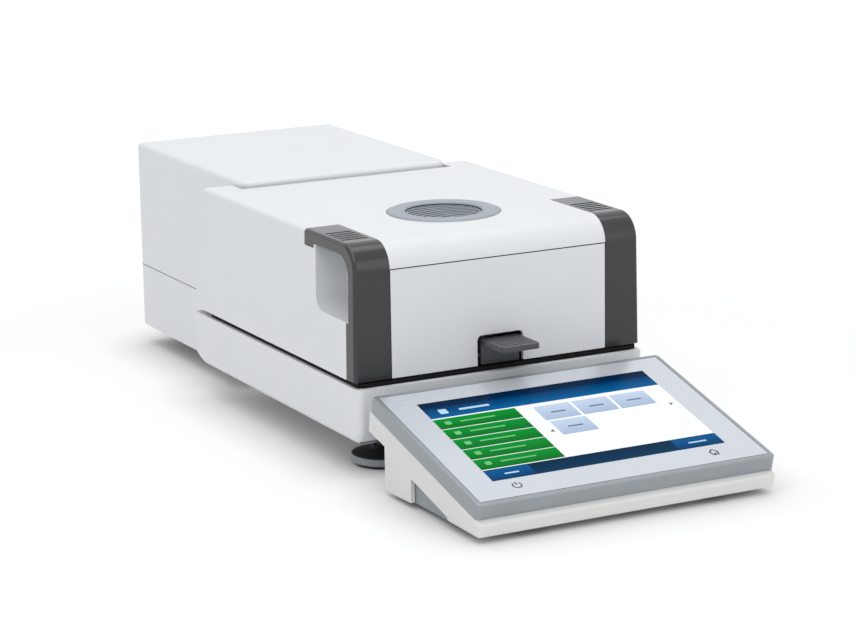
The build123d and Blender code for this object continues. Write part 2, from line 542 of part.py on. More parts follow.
def make_terminal():
    """Touch terminal: silver frame, glass, display, board and the white tray with side legs."""
    frame = block(-TERM_HALF, TERM_HALF, -TERM_LENGTH, 0, -TERM_BAND, 0)
    frame = fillet(frame.edges().filter_by(Axis.Z), TERM_CORNER_R)
    frame = chamfer(frame.faces().sort_by(Axis.Z)[-1].edges(), 0.8)
    frame -= block(-TERM_HALF + 3.0, TERM_HALF - 3.0, -TERM_LENGTH + 3.0, -3.0, -1.2, 1)
    frame -= block(-TERM_HALF + 7.0, TERM_HALF - 7.0, -TERM_LENGTH + 7.0, -7.0, -TERM_BAND - 1, 1)
    keep("terminal_frame", on_slope(frame))
    glass = block(-TERM_HALF + 3.2, TERM_HALF - 3.2, -TERM_LENGTH + 3.2, -3.2, -1.2, -0.1)
    keep("terminal_glass", on_slope(glass))
    y0 = -SCREEN_START
    display = block(-SCREEN_HALF - 3, SCREEN_HALF + 3, y0 - SCREEN_LENGTH - 3, y0 + 3, -5.4, -1.2)
    keep("display_module", on_slope(display))
    board = block(-88.0, 88.0, -122.0, -9.0, -8.4, -6.8)
    for x in (-70.0, 60.0):
        board += block(x, x + 10.0, -70.0, -60.0, -6.8, -5.4)
    board += block(-40.0, -28.0, -120.0, -113.5, -6.8, -1.2) + block(30.0, 38.0, -120.0, -113.5, -6.8, -1.2)
    keep("terminal_board", on_slope(board))

    cos_t, sin_t = math.cos(math.radians(TERM_TILT)), math.sin(math.radians(TERM_TILT))

    def slope(u, depth):
        """World (y, z) of a point u down the slope and depth below the top face."""
        return TERM_REAR_Y - u * cos_t + depth * sin_t, TERM_REAR_Z - u * sin_t - depth * cos_t

    rear_top = slope(0.0, TERM_BAND)
    front_top = slope(TERM_LENGTH, TERM_BAND)
    nose = (-268.6, 11.4)
    side = [rear_top, (-136.2, 33.6), (-156.0, 29.0), (-156.0, 2.8), (-188.4, 3.6), (-188.4, 18.0),
            (-232.0, 6.9), (-232.0, 4.0), (-266.0, 3.6), nose, front_top]
    tray = side_polygon(side, -TERM_HALF, TERM_HALF)
    tray = fillet(tray.edges().filter_by(Axis.X).filter_by(lambda e: e.center().Y < -262 and e.center().Z < 12), 1.6)
    front_corners = tray.edges().filter_by(lambda e: abs(e.center().X) > TERM_HALF - 1 and e.center().Y < -265.5)
    tray = fillet(front_corners, TERM_CORNER_R - 0.4)
    floor = [slope(3.0, TERM_BAND), slope(3.0, TERM_BAND + 4), slope(4.0, TERM_BAND + 5.4),
             slope(TERM_LENGTH - 12.0, TERM_BAND + 5.4), slope(TERM_LENGTH - 5.0, TERM_BAND)]
    hollow = [(-130.0, 30.0), slope(7.0, TERM_BAND + 7.6), slope(TERM_LENGTH - 18.0, TERM_BAND + 7.6),
              (-251.5, -2.0), (-130.0, -2.0)]
    tray -= side_polygon(hollow, -TERM_HALF + 2.6, TERM_HALF - 2.6)
    tray -= side_polygon(floor, -TERM_HALF + 7.0, TERM_HALF - 7.0)
    for x in (-60.0, 60.0):
        tray -= block(x - 7.3, x + 7.3, PIVOT_Y - 5.5, PIVOT_Y + 12.0, -1.0, PIVOT_Z + 4.4)
    tray -= rod(PIVOT_R + RUN_CLEARANCE, -78.0, 78.0, PIVOT_Y, PIVOT_Z)
    keep("terminal_tray", tray)


def make_stand():
    """Grey stand under the terminal with triangular cheeks, hinge ears, rod and a bracket to the base."""
    x0, x1 = TERM_HALF - 5.4, TERM_HALF - 3.0
    cheek = side_polygon([(-160.0, 5.0), (-160.0, 21.0), (-228.6, 4.4), (-228.6, 3.2), (-160.0, 3.2)], x0, x1)
    stand = block(-x1, x1, -246.5, -160.0, 3.2, 5.2)
    for one in both_sides(cheek):
        stand += one
    for x in (-60.0, 60.0):
        ear = block(x - 7.0, x + 7.0, -252.0, -245.0, 3.2, 6.4)
        ear += block(x - 7.0, x + 7.0, PIVOT_Y - 4.0, -250.0, PIVOT_Z - 5.0, PIVOT_Z)
        ear += rod(4.0, x - 7.0, x + 7.0, PIVOT_Y, PIVOT_Z)
        stand += ear
    arm = side_polygon([(-176.0, 3.2), (-176.0, 6.2), (-160.0, 12.0), (-140.0, 17.0), (-140.0, BASE_BOTTOM),
                        (-84.0, BASE_BOTTOM), (-84.0, 17.8), (-137.0, 14.0), (-156.0, 3.2)], -30.0, 30.0)
    stand += arm
    stand -= rod(PIVOT_R, -70.0, 70.0, PIVOT_Y, PIVOT_Z)
    keep("terminal_stand", stand)
    keep("tilt_rod", rod(PIVOT_R, -77.0, 77.0, PIVOT_Y, PIVOT_Z))
    pads = None
    for x in (-80.0, 80.0):
        for y in (-243.0, -166.0):
            pad = post(5.0, 0.0, 3.2, x, y)
            pads = pad if pads is None else pads + pad
    keep("terminal_feet", pads)


def make_screws():
    """Pan-head screws of the bottom plates and of the rear panel."""
    screws = None
    spots = [(x, y, BASE_BOTTOM) for x in (-86.0, 86.0) for y in (-60.0, 80.0)]
    spots += [(x, y, REAR_BOTTOM) for x in (-62.0, 62.0) for y in (120.0, 200.0)]
    for x, y, z in spots:
        head = post(3.0, z - 1.4, z, x, y)
        screws = head if screws is None else screws + head
    for x in (-57.0, 57.0):
        for z in (62.0, 122.0):
            screws += barrel(2.6, REAR_END - 0.5, REAR_END, x, z)
    keep("housing_screws", screws)


def main():
    """Build every piece and write it to its own file."""
    make_trims()
    make_lid_shell()
    make_front_panel()
    make_vent()
    make_heater()
    make_hinge()
    make_rear_housing()
    make_rear_panel()
    make_fan()
    make_electronics()
    make_base()
    make_floor_plates()
    make_chamber()
    make_feet()
    make_terminal()
    make_stand()
    make_screws()
    os.makedirs("parts", exist_ok=True)
    for name, shape in SOLIDS.items():
        shape.label = name
        export_step(shape, f"parts/{name}.step")
        print(f"{name:22s} {len(shape.solids()):2d} solids {shape.volume / 1000:9.2f} cm3")


main()
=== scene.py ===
"""Looks of a halogen moisture analyzer: finishes, screen picture, small trim, studio and camera.

Everything is in metres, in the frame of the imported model: +Z up, the terminal faces -Y.
"""

import logging
import math
from dataclasses import dataclass, field
from enum import Enum
from typing import Callable, Dict, List, Optional, Sequence, Tuple

import bmesh
import bpy
from mathutils import Matrix, Vector

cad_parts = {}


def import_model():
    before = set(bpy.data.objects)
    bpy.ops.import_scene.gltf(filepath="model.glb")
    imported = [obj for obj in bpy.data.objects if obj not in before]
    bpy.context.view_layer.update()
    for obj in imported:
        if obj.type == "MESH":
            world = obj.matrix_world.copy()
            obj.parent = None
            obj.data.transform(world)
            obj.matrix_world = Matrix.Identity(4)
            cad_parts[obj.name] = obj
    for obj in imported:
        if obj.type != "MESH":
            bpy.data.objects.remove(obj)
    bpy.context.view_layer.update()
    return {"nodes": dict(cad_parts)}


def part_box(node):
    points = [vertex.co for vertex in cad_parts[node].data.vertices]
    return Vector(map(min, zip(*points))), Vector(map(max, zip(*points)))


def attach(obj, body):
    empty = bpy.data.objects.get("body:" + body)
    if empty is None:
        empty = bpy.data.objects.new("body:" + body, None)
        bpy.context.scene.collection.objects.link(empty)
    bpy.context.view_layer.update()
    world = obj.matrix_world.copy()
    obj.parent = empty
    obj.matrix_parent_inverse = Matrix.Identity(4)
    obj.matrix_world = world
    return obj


LOG = logging.getLogger("moisture_analyzer")
MM = 0.001
Colour = Tuple[float, float, float]
Point = Tuple[float, float]


class Body(str, Enum):
    """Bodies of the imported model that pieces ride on."""

    BASE = "base"
    LID = "lid"
    TERMINAL = "terminal_head"
    LEFT_SCREW = "foot_left_screw"
    RIGHT_SCREW = "foot_right_screw"


@dataclass(frozen=True)
class Finish:
    """One finish: its colour, gloss and the fine structure of its surface.

    Attributes:
        name: Name of the material.
        base: Linear base colour.
        roughness: Mean roughness.
        spread: How far roughness varies over the surface.
        grain: Size of the surface texture, in millimetres.
        relief: Height of the surface texture, in micrometres.
        mottle: How far the colour varies, as a fraction.
        metallic: Metallic value.
        coat: Weight of a clear coat.
        glow: Strength of the light the surface gives off.
        shine: Specular level of the surface.
        brushed: Whether the texture is drawn out along X, as on brushed metal.
        clear: Whether light passes through, as in glass.
    """

    name: str
    base: Colour
    roughness: float
    spread: float = 0.06
    grain: float = 0.6
    relief: float = 12.0
    mottle: float = 0.03
    metallic: float = 0.0
    coat: float = 0.0
    glow: float = 0.0
    shine: float = 0.5
    brushed: bool = False
    clear: bool = False

    def build(self) -> bpy.types.Material:
        """Make the node material, once, and return it.

        Returns:
            The material, the same one each time it is asked for.
        """
        made = bpy.data.materials.get(self.name)
        if made is not None:
            return made
        material = bpy.data.materials.new(self.name)
        material.use_nodes = True
        tree = material.node_tree
        shader = tree.nodes["Principled BSDF"]
        shader.inputs["Metallic"].default_value = self.metallic
        shader.inputs["Coat Weight"].default_value = self.coat
        shader.inputs["Specular IOR Level"].default_value = self.shine
        if self.coat:
            shader.inputs["Coat Roughness"].default_value = 0.16
        if self.clear:
            shader.inputs["Transmission Weight"].default_value = 0.9
            shader.inputs["IOR"].default_value = 1.46
        if self.glow:
            shader.inputs["Emission Color"].default_value = (*self.base, 1.0)
            shader.inputs["Emission Strength"].default_value = self.glow
        place = self._coordinates(tree)
        self._colour(tree, shader, place)
        self._roughness(tree, shader, place)
        self._relief(tree, shader, place)
        return material

    def _coordinates(self, tree: bpy.types.NodeTree) -> bpy.types.NodeSocket:
        """Object coordinates, stretched along X for a brushed metal.

        Args:
            tree: Node tree of the material.

        Returns:
            Socket with the place on the surface.
        """
        coords = tree.nodes.new("ShaderNodeTexCoord")
        mapping = tree.nodes.new("ShaderNodeMapping")
        if self.brushed:
            mapping.inputs["Scale"].default_value = (0.03, 1.0, 1.0)
        tree.links.new(coords.outputs["Object"], mapping.inputs["Vector"])
        return mapping.outputs["Vector"]

    def _noise(self, tree: bpy.types.NodeTree, place: bpy.types.NodeSocket, size_mm: float,
               detail: float) -> bpy.types.NodeSocket:
        """Noise of a given size in millimetres.

        Args:
            tree: Node tree of the material.
            place: Place on the surface.
            size_mm: Size of the noise's grain, in millimetres.
            detail: Number of finer layers.

        Returns:
            Socket with the noise, from 0 to 1.
        """
        noise = tree.nodes.new("ShaderNodeTexNoise")
        noise.inputs["Scale"].default_value = 1000.0 / size_mm
        noise.inputs["Detail"].default_value = detail
        tree.links.new(place, noise.inputs["Vector"])
        return noise.outputs["Fac"]

    def _colour(self, tree: bpy.types.NodeTree, shader: bpy.types.Node,
                place: bpy.types.NodeSocket) -> None:
        """Slow variation of the base colour, as moulded or coated surfaces have.

        Args:
            tree: Node tree of the material.
            shader: Principled node that gets it.
            place: Place on the surface.
        """
        ramp = tree.nodes.new("ShaderNodeValToRGB")
        dark, light = 1.0 - self.mottle, 1.0 + self.mottle * 0.6
        ramp.color_ramp.elements[0].position = 0.3
        ramp.color_ramp.elements[1].position = 0.7
        ramp.color_ramp.elements[0].color = (*[min(1.0, c * dark) for c in self.base], 1.0)
        ramp.color_ramp.elements[1].color = (*[min(1.0, c * light) for c in self.base], 1.0)
        tree.links.new(self._noise(tree, place, 34.0, 3.0), ramp.inputs["Fac"])
        tree.links.new(ramp.outputs["Color"], shader.inputs["Base Color"])

    def _roughness(self, tree: bpy.types.NodeTree, shader: bpy.types.Node,
                   place: bpy.types.NodeSocket) -> None:
        """Uneven gloss, as on a surface that has been wiped and touched.

        Args:
            tree: Node tree of the material.
            shader: Principled node that gets it.
            place: Place on the surface.
        """
        spread = tree.nodes.new("ShaderNodeMapRange")
        spread.inputs["To Min"].default_value = max(0.02, self.roughness - self.spread)
        spread.inputs["To Max"].default_value = min(1.0, self.roughness + self.spread)
        tree.links.new(self._noise(tree, place, 11.0, 4.0), spread.inputs["Value"])
        tree.links.new(spread.outputs["Result"], shader.inputs["Roughness"])

    def _relief(self, tree: bpy.types.NodeTree, shader: bpy.types.Node,
                place: bpy.types.NodeSocket) -> None:
        """Fine texture of the surface, as a bump.

        Args:
            tree: Node tree of the material.
            shader: Principled node that gets it.
            place: Place on the surface.
        """
        if self.relief <= 0:
            return
        bump = tree.nodes.new("ShaderNodeBump")
        bump.inputs["Strength"].default_value = 0.6
        bump.inputs["Distance"].default_value = self.relief * 1e-6
        tree.links.new(self._noise(tree, place, self.grain, 2.0), bump.inputs["Height"])
        tree.links.new(bump.outputs["Normal"], shader.inputs["Normal"])


@dataclass(frozen=True)
class GradedFinish(Finish):
    """Screen colour that grades from one tone to another along Y, once or once a row.

    Attributes:
        second: Tone at the low end.
        first_y: Place along Y where the first row starts.
        row: Depth of one row along Y.
    """

    second: Colour = (0.0, 0.0, 0.0)
    first_y: float = 0.0
    row: float = 0.1

    def _colour(self, tree: bpy.types.NodeTree, shader: bpy.types.Node,
                place: bpy.types.NodeSocket) -> None:
        """Base colour and glow that grade along each row.

        Args:
            tree: Node tree of the material.
            shader: Principled node that gets it.
            place: Place on the surface.
        """
        parts = tree.nodes.new("ShaderNodeSeparateXYZ")
        tree.links.new(place, parts.inputs["Vector"])
        rows = tree.nodes.new("ShaderNodeMapRange")
        rows.clamp = False
        rows.inputs["From Min"].default_value = self.first_y
        rows.inputs["From Max"].default_value = self.first_y - self.row
        tree.links.new(parts.outputs["Y"], rows.inputs["Value"])
        within = tree.nodes.new("ShaderNodeMath")
        within.operation = "FRACT"
        tree.links.new(rows.outputs["Result"], within.inputs[0])
        ramp = tree.nodes.new("ShaderNodeValToRGB")
        ramp.color_ramp.elements[0].color = (*self.base, 1.0)
        ramp.color_ramp.elements[1].color = (*self.second, 1.0)
        tree.links.new(within.outputs["Value"], ramp.inputs["Fac"])
        tree.links.new(ramp.outputs["Color"], shader.inputs["Base Color"])
        tree.links.new(ramp.outputs["Color"], shader.inputs["Emission Color"])


@dataclass
class Finishes:
    """All finishes of the analyzer."""

    white: Finish = Finish(
        "white_housing_plastic", (0.80, 0.815, 0.835), 0.42, relief=9.0, mottle=0.012)
    warm_white: Finish = Finish(
        "warm_white_tray_plastic", (0.79, 0.78, 0.765), 0.45, relief=9.0, mottle=0.015)
    trim: Finish = Finish(
        "dark_grey_textured_trim", (0.026, 0.028, 0.031), 0.19, spread=0.02, grain=0.45, relief=1.5,
        mottle=0.04)
    handler: Finish = Finish(
        "dark_grey_handler_plastic", (0.058, 0.062, 0.075), 0.26, spread=0.03, relief=3.0, mottle=0.05)
    black: Finish = Finish(
        "black_moulded_plastic", (0.012, 0.012, 0.013), 0.5, relief=14.0, mottle=0.1)
    deck: Finish = Finish(
        "matt_black_deck_plastic", (0.006, 0.006, 0.007), 0.7, relief=14.0, mottle=0.1, shine=0.15)
    seam: Finish = Finish(
        "dark_joint_line", (0.03, 0.031, 0.034), 0.8, relief=0.0, mottle=0.1, shine=0.1)
    vent: Finish = Finish(
        "blue_grey_vent_plastic", (0.32, 0.355, 0.395), 0.4, mottle=0.03)
    slats: Finish = Finish(
        "vent_slat_plastic", (0.27, 0.3, 0.335), 0.42, mottle=0.04)
    stand: Finish = Finish(
        "mid_grey_stand_plastic", (0.31, 0.345, 0.36), 0.5, relief=14.0, mottle=0.03)
    silver: Finish = Finish(
        "silver_satin_lacquer", (0.32, 0.345, 0.365), 0.34, grain=0.25, relief=2.0, mottle=0.04,
        metallic=0.35)
    panel: Finish = Finish(
        "silver_backed_touch_panel", (0.63, 0.66, 0.71), 0.26, spread=0.04, grain=0.8, relief=0.4,
        mottle=0.02, metallic=0.25, coat=0.5)
    steel: Finish = Finish(
        "polished_steel", (0.68, 0.69, 0.71), 0.2, mottle=0.03, metallic=1.0, relief=2.0)
    sheet: Finish = Finish(
        "zinc_plated_sheet", (0.5, 0.51, 0.53), 0.38, metallic=1.0, brushed=True, relief=6.0)
    aluminium: Finish = Finish(
        "bright_aluminium", (0.78, 0.79, 0.8), 0.28, metallic=1.0, brushed=True, relief=5.0)
    glass: Finish = Finish(
        "clear_heat_glass", (0.95, 0.97, 0.98), 0.05, spread=0.02, clear=True, relief=0.0)
    lamp: Finish = Finish(
        "frosted_lamp_quartz", (0.9, 0.88, 0.82), 0.22, mottle=0.02, relief=3.0)
    ceramic: Finish = Finish(
        "lamp_holder_ceramic", (0.78, 0.76, 0.7), 0.7, mottle=0.05)
    board: Finish = Finish(
        "lacquered_circuit_board", (0.03, 0.17, 0.07), 0.35, mottle=0.12)
    rubber: Finish = Finish(
        "black_rubber", (0.022, 0.022, 0.023), 0.78, grain=0.9, relief=22.0, mottle=0.1)
    rim: Finish = Finish(
        "grey_ribbed_rim", (0.33, 0.345, 0.36), 0.38, mottle=0.05)
    contact: Finish = Finish(
        "gilt_contact", (0.75, 0.56, 0.24), 0.25, metallic=1.0, relief=1.0)
    ink: Finish = Finish(
        "symbol_ink", (0.02, 0.024, 0.035), 0.5, relief=0.0)


class Mesher:
    """Small mesh builders shared by the sub-assemblies."""

    @staticmethod
    def piece(name: str, build: Callable[[bmesh.types.BMesh], None], finish: Finish, body: Body, slot: str,
              smooth: bool = False) -> bpy.types.Object:
        """Build one piece, dress it and let it ride on a body.

        Args:
            name: Name of the piece.
            build: Function that fills the mesh, in metres.
            finish: Finish of the piece.
            body: Body that it moves with.
            slot: Name of a material slot of the record; not used.
            smooth: Whether its faces are shaded smooth.

        Returns:
            The new object.
        """
        mesh = bpy.data.meshes.new(name)
        bm = bmesh.new()
        build(bm)
        bmesh.ops.recalc_face_normals(bm, faces=bm.faces)
        bm.to_mesh(mesh)
        bm.free()
        obj = bpy.data.objects.new(name, mesh)
        bpy.context.scene.collection.objects.link(obj)
        mesh.materials.append(finish.build())
        for polygon in mesh.polygons:
            polygon.use_smooth = smooth
        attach(obj, body.value)
        LOG.info("made %s on %s", name, body.value)
        return obj

    @staticmethod
    def prism(bm: bmesh.types.BMesh, outline: Sequence[Point], low: float, high: float,
              place: Matrix) -> None:
        """Closed prism over a flat outline between two heights, moved by a matrix.

        Args:
            bm: Mesh to add to.
            outline: Corners of the flat outline, in metres.
            low: Height of the lower face.
            high: Height of the upper face.
            place: Matrix that puts the prism in its place.
        """
        bottom = [bm.verts.new(place @ Vector((x, y, low))) for x, y in outline]
        top = [bm.verts.new(place @ Vector((x, y, high))) for x, y in outline]
        bm.faces.new(top)
        bm.faces.new(list(reversed(bottom)))
        count = len(outline)
        for i in range(count):
            j = (i + 1) % count
            bm.faces.new((bottom[i], bottom[j], top[j], top[i]))

    @staticmethod
    def lathe(bm: bmesh.types.BMesh, profile: Sequence[Point], centre: Vector, steps: int = 96,
              ribs: int = 0, rib_depth: float = 0.0) -> None:
        """Closed ring made by turning a closed (radius, height) profile about an upright axis.

        Args:
            bm: Mesh to add to.
            profile: Closed outline of (radius, height) points.
            centre: Point on the axis at height zero.
            steps: Steps round the axis.
            ribs: Number of ribs pressed into the outermost points.
            rib_depth: Depth of a rib.
        """
        outer = max(r for r, _ in profile)
        rows: List[List[bmesh.types.BMVert]] = []
        for i in range(steps):
            angle = 2 * math.pi * i / steps
            dip = rib_depth * (0.5 - 0.5 * math.cos(ribs * angle)) if ribs else 0.0
            row = []
            for r, z in profile:
                reach = r - dip if r > outer - 1e-4 else r
                across = Vector((reach * math.cos(angle), reach * math.sin(angle), z))
                row.append(bm.verts.new(centre + across))
            rows.append(row)
        for i in range(steps):
            here, after = rows[i], rows[(i + 1) % steps]
            for k in range(len(profile)):
                n = (k + 1) % len(profile)
                bm.faces.new((here[k], here[n], after[n], after[k]))

    @staticmethod
    def rounded(x0: float, x1: float, y0: float, y1: float, radius: float, steps: int = 5) -> List[Point]:
        """Outline of a rectangle with rounded corners.

        Args:
            x0: Lowest X.
            x1: Highest X.
            y0: Lowest Y.
            y1: Highest Y.
            radius: Radius of the corners.
            steps: Steps round each corner.

        Returns:
            Points of the outline.
        """
        points: List[Point] = []
        for cx, cy, start in ((x1 - radius, y1 - radius, 0.0), (x0 + radius, y1 - radius, 90.0),
                              (x0 + radius, y0 + radius, 180.0), (x1 - radius, y0 + radius, 270.0)):
            for i in range(steps + 1):
                angle = math.radians(start + 90.0 * i / steps)
                points.append((cx + radius * math.cos(angle), cy + radius * math.sin(angle)))
        return points


@dataclass
class CarriedNodes:
    """Finishes of the nodes that keep their own shape."""

    finishes: Finishes
    soft_edge: float = 0.45 * MM
    softened: Tuple[str, ...] = (
        "base_shell", "rear_housing", "lid_shell", "lid_front_panel", "terminal_tray", "lid_trim_left",
        "lid_trim_right", "terminal_frame", "pan_handler", "terminal_stand", "chamber_deck")

    def plan(self) -> Dict[Finish, Tuple[str, ...]]:
        """Which finish goes on which nodes.

        Returns:
            The names of the nodes for each finish.
        """
        f = self.finishes
        return {
            f.white: ("base_shell", "rear_housing", "lid_shell", "lid_front_panel"),
            f.warm_white: ("terminal_tray",),
            f.trim: ("lid_trim_right", "lid_trim_left"),
            f.handler: ("pan_handler",),
            f.deck: ("chamber_deck",),
            f.black: ("rear_panel", "mains_inlet", "fan_frame", "fan_rotor", "fan_grille",
                      "foot_wheel_right", "foot_wheel_left", "hinge_bush_right", "hinge_bush_left"),
            f.vent: ("vent_ring",),
            f.slats: ("vent_grille",),
            f.stand: ("terminal_stand",),
            f.silver: ("terminal_frame",),
            f.panel: ("terminal_glass",),
            f.steel: ("lamp_reflector", "draft_shield", "hinge_pin_right", "hinge_pin_left", "tilt_rod",
                      "glass_clips", "temperature_sensor", "housing_screws", "data_sockets"),
            f.sheet: ("panel_bracket", "heater_frame", "hinge_brackets", "front_bottom_plate",
                      "rear_bottom_plate", "power_supply", "lid_motor"),
            f.aluminium: ("sample_pan", "pan_support", "weighing_cell"),
            f.glass: ("protective_glass",),
            f.lamp: ("halogen_ring_lamp",),
            f.ceramic: ("lamp_holders",),
            f.board: ("main_board", "terminal_board", "display_module"),
            f.rubber: ("rear_feet", "foot_pad_left", "foot_pad_right", "terminal_feet"),
        }

    def dress(self, nodes: Dict[str, bpy.types.Object]) -> None:
        """Give every carried node its finish and, on the housings, slightly rounded edges.

        Args:
            nodes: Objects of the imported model, by node name.
        """
        for finish, names in self.plan().items():
            material = finish.build()
            for name in names:
                obj = nodes[name]
                obj.data.materials.clear()
                obj.data.materials.append(material)
                LOG.info("dressed %s in %s", name, finish.name)
        for name in self.softened:
            self._soften(nodes[name])

    def _soften(self, obj: bpy.types.Object) -> None:
        """Round a node's sharp edges a little with modifiers, leaving its mesh alone.

        Args:
            obj: Object of the node.
        """
        weld = obj.modifiers.new("weld", "WELD")
        weld.merge_threshold = 0.002 * MM
        flat = obj.modifiers.new("flat_faces", "DECIMATE")
        flat.decimate_type = "DISSOLVE"
        flat.angle_limit = math.radians(1.0)
        bevel = obj.modifiers.new("soft_edges", "BEVEL")
        bevel.width = self.soft_edge
        bevel.segments = 2
        bevel.limit_method = "ANGLE"
        bevel.angle_limit = math.radians(40)
        bevel.harden_normals = False
        normals = obj.modifiers.new("even_normals", "WEIGHTED_NORMAL")
        normals.keep_sharp = False
        normals.weight = 80


@dataclass
class Terminal:
    """Screen picture and touch symbols on the terminal's glass.

    Sizes are in metres on the sloping top face, measured from its rear edge.
    """

    finishes: Finishes
    tilt: float = math.radians(14.25)
    rear: Vector = field(default_factory=lambda: Vector((0.0, -140.2 * MM, 55.3 * MM)))
    screen_half: float = 76.2 * MM
    screen_start: float = 16.9 * MM
    screen_length: float = 92.9 * MM
    glass_top: float = -0.1 * MM
    panel_edge: float = 3.0 * MM
    frame_half: float = 97.2 * MM
    frame_length: float = 131.5 * MM
    layer: float = 0.03 * MM
    symbol_line: float = 0.9 * MM
    symbol_y: float = -117.4 * MM
    power_x: float = -65.0 * MM
    power_radius: float = 3.1 * MM
    home_x: float = 63.6 * MM
    home_size: float = 2.9 * MM

    def place(self) -> Matrix:
        """Matrix from the flat top face to the slope."""
        return Matrix.Translation(self.rear) @ Matrix.Rotation(self.tilt, 4, "X")

    def area(self, u0: float, u1: float, v0: float, v1: float) -> Tuple[float, float, float, float]:
        """Corners of a part of the screen, given as fractions from its rear left corner.

        Args:
            u0: Left edge.
            u1: Right edge.
            v0: Rear edge.
            v1: Front edge.

        Returns:
            Lowest and highest X, lowest and highest Y, on the sloping face.
        """
        width = 2 * self.screen_half
        return (-self.screen_half + u0 * width, -self.screen_half + u1 * width,
                -self.screen_start - v1 * self.screen_length, -self.screen_start - v0 * self.screen_length)

    def block(self, bm: bmesh.types.BMesh, u0: float, u1: float, v0: float, v1: float, level: int,
              radius: float = 0.0) -> None:
        """One flat block of colour on the screen, on the given layer.

        Args:
            bm: Mesh to add to.
            u0: Left edge, as a fraction of the screen.
            u1: Right edge.
            v0: Rear edge.
            v1: Front edge.
            level: Layer that the block lies on.
            radius: Radius of its corners.
        """
        x0, x1, y0, y1 = self.area(u0, u1, v0, v1)
        square = [(x0, y0), (x1, y0), (x1, y1), (x0, y1)]
        outline = Mesher.rounded(x0, x1, y0, y1, radius) if radius else square
        low = self.glass_top - 0.2 * self.layer + (level - 1) * self.layer * (1 if level else 0)
        Mesher.prism(bm, outline, low, self.glass_top + level * self.layer, self.place())

    def along_y(self, v: float) -> float:
        """Place along Y of a point of the screen, given as a fraction from its rear edge."""
        return self.rear.y - (self.screen_start + v * self.screen_length) * math.cos(self.tilt)

    def picture(self, name: str, colour: Colour, blocks: Sequence[Tuple[float, ...]], level: int,
                second: Optional[Colour] = None, row: Point = (0.0, 1.0)) -> None:
        """One colour of the screen picture as one piece.

        Args:
            name: Name of the colour's piece.
            colour: Its linear colour.
            blocks: Blocks as fractions of the screen, with a corner radius in millimetres where there is one.
            level: Layer that the blocks lie on.
            second: Tone that each row grades to, if it does.
            row: Start and end of the first row, as fractions from the screen's rear edge.
        """
        look = dict(roughness=0.24, spread=0.03, grain=0.3, relief=0.6, mottle=0.06, glow=0.12, shine=0.02)
        finish = Finish(f"screen_{name}", colour, **look)
        if second:
            depth = self.along_y(row[0]) - self.along_y(row[1])
            finish = GradedFinish(f"screen_{name}", colour, second=second, first_y=self.along_y(row[0]),
                                  row=depth, **look)

        def build(bm: bmesh.types.BMesh) -> None:
            """Add every block of this colour."""
            for one in blocks:
                self.block(bm, *one[:4], level, one[4] * MM if len(one) > 4 else 0.0)

        Mesher.piece(f"screen_{name}", build, finish, Body.TERMINAL, "display_glass")

    def build(self) -> None:
        """Make the whole screen and the two touch symbols."""
        pitch, top, height, right = 0.131, 0.213, 0.124, 0.352
        tile_width, tile_height = 0.157, 0.178
        rows = [(top + i * pitch, top + i * pitch + height) for i in range(5)]
        tiles = [(0.422, 0.24), (0.59, 0.24), (0.758, 0.24), (0.43, 0.435)]
        self.picture("backlight", (0.9, 0.93, 0.97), [(0.0, 1.0, 0.0, 1.0)], 1)
        self.picture("status_bar", (0.0, 0.012, 0.04), [(0.0, 1.0, 0.0, 0.075)], 2,
                     (0.0, 0.02, 0.07), (0.0, 0.08))
        self.picture("header", (0.0, 0.035, 0.12), [(0.0, 1.0, 0.075, 0.2)], 2,
                     (0.0, 0.11, 0.32), (0.075, 0.205))
        self.picture("foot_bar", (0.0, 0.02, 0.055), [(0.0, 1.0, 0.87, 1.0)], 2,
                     (0.0, 0.035, 0.095), (0.86, 1.01))
        self.picture("foot_buttons", (0.0, 0.1, 0.29),
                     [(0.0, 0.185, 0.88, 0.993), (0.8, 1.0, 0.88, 0.993)], 3,
                     (0.0, 0.04, 0.14), (0.87, 1.0))
        self.picture("buttons", (0.0, 0.27, 0.03), [(0.0, right, a, b) for a, b in rows], 2,
                     (0.0, 0.14, 0.012), (top, top + pitch))
        self.picture("tiles", (0.53, 0.63, 0.78),
                     [(u, u + tile_width, v, v + tile_height, 0.8) for u, v in tiles], 2,
                     (0.36, 0.45, 0.6), (0.24, 0.435))
        marks = [(0.1, 0.25, a + 0.05, a + 0.064, 0.3) for a, _ in rows]
        marks += [(0.036, 0.062, a + 0.038, a + 0.078, 0.8) for a, _ in rows]
        self.picture("button_marks", (0.16, 0.52, 0.2), marks, 4)
        marks = [(0.14, 0.27, 0.118, 0.14, 0.5), (0.055, 0.09, 0.1, 0.158, 1.0),
                 (0.07, 0.13, 0.93, 0.945, 0.3), (0.86, 0.94, 0.93, 0.945, 0.3)]
        self.picture("header_marks", (0.45, 0.66, 0.8), marks, 4)
        self.picture("tile_lines", (0.1, 0.14, 0.24), [(u + 0.05, u + 0.115, v + 0.085, v + 0.098, 0.2)
                                                        for u, v in tiles], 3)
        self._arrows()
        self._symbols()
        self._outline()

    def _outline(self) -> None:
        """Dark line of the gap between the glass and the frame."""
        low, high = self.panel_edge, self.panel_edge + 0.3 * MM
        length = self.frame_length

        def build(bm: bmesh.types.BMesh) -> None:
            """Add the four sides of the gap."""
            reach = self.frame_half
            for x0, x1, y0, y1 in ((-reach + low, reach - low, -high, -low),
                                   (-reach + low, reach - low, low - length, high - length),
                                   (-reach + low, -reach + high, high - length, -high),
                                   (reach - high, reach - low, high - length, -high)):
                Mesher.prism(bm, [(x0, y0), (x1, y0), (x1, y1), (x0, y1)], self.glass_top - 0.3 * MM,
                             self.glass_top + 0.02 * MM, self.place())

